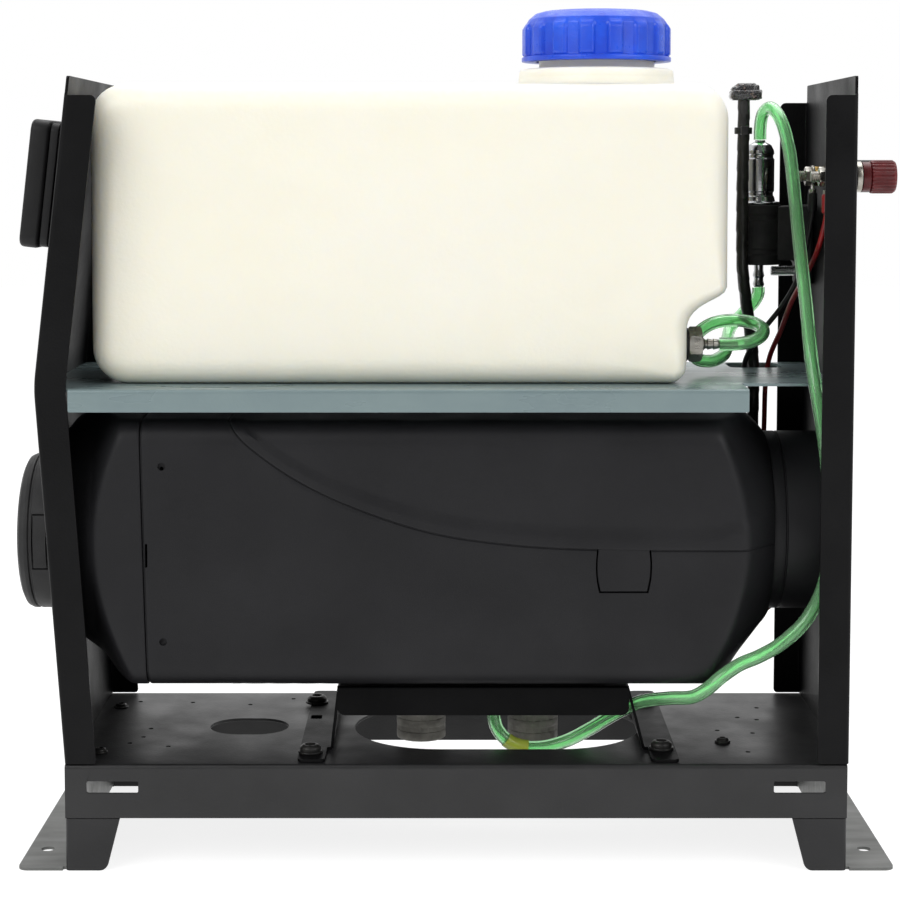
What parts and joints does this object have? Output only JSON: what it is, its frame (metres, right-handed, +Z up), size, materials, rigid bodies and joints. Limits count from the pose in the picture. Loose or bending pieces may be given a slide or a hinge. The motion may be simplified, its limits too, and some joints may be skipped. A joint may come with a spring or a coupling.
{
  "type": "diesel air heater",
  "caption": "Portable all-in-one diesel air heater without its cover: bent steel frame, tank on a shelf, heater below, with fuel pump, hoses, posts and controller.",
  "frame": {"origin": "on the floor, under the middle of the whole heater", "axes": "+X from the warm-air outlet to the supply posts, +Y from the front to the back, +Z up"},
  "size_m": [0.454, 0.15, 0.4364],
  "materials": {
    "dark_steel": "satin black powder coat",
    "foot_steel": "satin grey",
    "shelf_steel": "galvanised sheet",
    "bare_steel": "plated",
    "pump_shell": "polished",
    "castings": "as cast",
    "brass_parts": "bright",
    "tank_plastic": "translucent off-white",
    "cap_plastic": "semi-gloss blue",
    "casing_plastic": "fine grain black",
    "controller_plastic": "semi-gloss black",
    "vent_plastic": "dark grey",
    "rubber_parts": "matte black",
    "red_plastic": "dark red",
    "hose_plastic": "translucent green",
    "red_insulation": "dark red",
    "black_insulation": "black",
    "display_window": "dark, glossy",
    "gasket_fibre": "grey fibre"
  },
  "bodies": {
    "heater_frame": {"base_tray": "dark_steel", "left_foot_bracket": "foot_steel", "right_foot_bracket": "foot_steel", "left_end_plate": "dark_steel", "right_end_plate": "dark_steel", "tank_shelf": "shelf_steel", "heater_bracket": "dark_steel", "fuel_tank": "tank_plastic", "outlet_washer": "rubber_parts", "tank_outlet": "bare_steel", "pump_body": "pump_shell", "pump_spring": "bare_steel", "pump_mount": "rubber_parts", "pump_mount_bolt": "bare_steel", "fuel_hose_tank": "hose_plastic", "fuel_hose_heater": "hose_plastic", "wiring_harness": "black_insulation", "harness_connector": "controller_plastic", "harness_tie": "casing_plastic", "red_lead": "red_insulation", "black_lead": "black_insulation", "red_post_insulator": "red_plastic", "red_post_stud": "pump_shell", "red_terminal": "brass_parts", "black_post_insulator": "controller_plastic", "black_post_stud": "pump_shell", "black_terminal": "brass_parts", "controller_bracket": "dark_steel", "controller_back": "controller_plastic", "controller_front": "controller_plastic", "controller_display": "display_window", "vent_ring": "vent_plastic", "outlet_hood": "casing_plastic", "heater_lower_casing": "casing_plastic", "heater_upper_casing": "casing_plastic", "inlet_collar": "casing_plastic", "inlet_grille": "casing_plastic", "heat_exchanger": "castings", "burner": "bare_steel", "glow_plug": "bare_steel", "fan_housing": "castings", "motor": "bare_steel", "control_unit": "casing_plastic", "base_gasket": "gasket_fibre", "wiring_gland": "rubber_parts"},
    "cap_lifter": {"cap_seal": "rubber_parts"},
    "cap": {"tank_cap": "cap_plastic"},
    "red_clamp": {"red_post_insert": "brass_parts"},
    "red_knob": {"red_post_knob": "red_plastic"},
    "black_clamp": {"black_post_insert": "brass_parts"},
    "black_knob": {"black_post_knob": "controller_plastic"},
    "button_1": {"controller_button_1": "controller_plastic"},
    "button_2": {"controller_button_2": "controller_plastic"},
    "button_3": {"controller_button_3": "controller_plastic"},
    "button_4": {"controller_button_4": "controller_plastic"},
    "louvre": {"vent_louvre": "vent_plastic"},
    "rotor": {"rotor_shaft": "bare_steel", "combustion_wheel": "castings", "blower_wheel": "casing_plastic"},
    "piston": {"pump_piston": "bare_steel"}
  },
  "joints": [
    {"name": "cap_lift", "type": "slide", "parent": "heater_frame", "child": "cap_lifter", "axis": [0, 0, 1], "range_m": [0, 0.06]},
    {"name": "cap_turn", "type": "hinge", "parent": "cap_lifter", "child": "cap", "pos_m": [0.0737, 0, 0.42], "axis": [0, 0, 1], "range_deg": [0, 540]},
    {"name": "red_clamp_slide", "type": "slide", "parent": "heater_frame", "child": "red_clamp", "axis": [1, 0, 0], "range_m": [0, 0.006]},
    {"name": "red_knob_turn", "type": "hinge", "parent": "red_clamp", "child": "red_knob", "pos_m": [0.215, -0.022, 0.3495], "axis": [1, 0, 0], "range_deg": [0, 2160]},
    {"name": "black_clamp_slide", "type": "slide", "parent": "heater_frame", "child": "black_clamp", "axis": [1, 0, 0], "range_m": [0, 0.006]},
    {"name": "black_knob_turn", "type": "hinge", "parent": "black_clamp", "child": "black_knob", "pos_m": [0.215, 0.022, 0.3495], "axis": [1, 0, 0], "range_deg": [0, 2160]},
    {"name": "button_1_press", "type": "slide", "parent": "heater_frame", "child": "button_1", "axis": [0.9929, 0, -0.1185], "range_m": [0, 0.0007], "stiffness_N_per_m": 600, "springref_m": -0.0008},
    {"name": "button_2_press", "type": "slide", "parent": "heater_frame", "child": "button_2", "axis": [0.9929, 0, -0.1185], "range_m": [0, 0.0007], "stiffness_N_per_m": 600, "springref_m": -0.0008},
    {"name": "button_3_press", "type": "slide", "parent": "heater_frame", "child": "button_3", "axis": [0.9929, 0, -0.1185], "range_m": [0, 0.0007], "stiffness_N_per_m": 600, "springref_m": -0.0008},
    {"name": "button_4_press", "type": "slide", "parent": "heater_frame", "child": "button_4", "axis": [0.9929, 0, -0.1185], "range_m": [0, 0.0007], "stiffness_N_per_m": 600, "springref_m": -0.0008},
    {"name": "louvre_turn", "type": "hinge", "parent": "heater_frame", "child": "louvre", "pos_m": [-0.2195, 0, 0.1613], "axis": [1, 0, 0], "continuous": true},
    {"name": "fan_spin", "type": "hinge", "parent": "heater_frame", "child": "rotor", "pos_m": [0.086, 0, 0.165], "axis": [1, 0, 0], "continuous": true},
    {"name": "pump_stroke", "type": "slide", "parent": "heater_frame", "child": "piston", "axis": [0, 0, 1], "range_m": [0, 0.0025], "stiffness_N_per_m": 900, "springref_m": -0.001, "deforming": ["pump_spring"]}
  ],
  "couplings": [
    {"joint": "red_knob_turn", "follows": "red_clamp_slide", "rad_per_m": 6283.2},
    {"joint": "black_knob_turn", "follows": "black_clamp_slide", "rad_per_m": 6283.2}
  ]
}
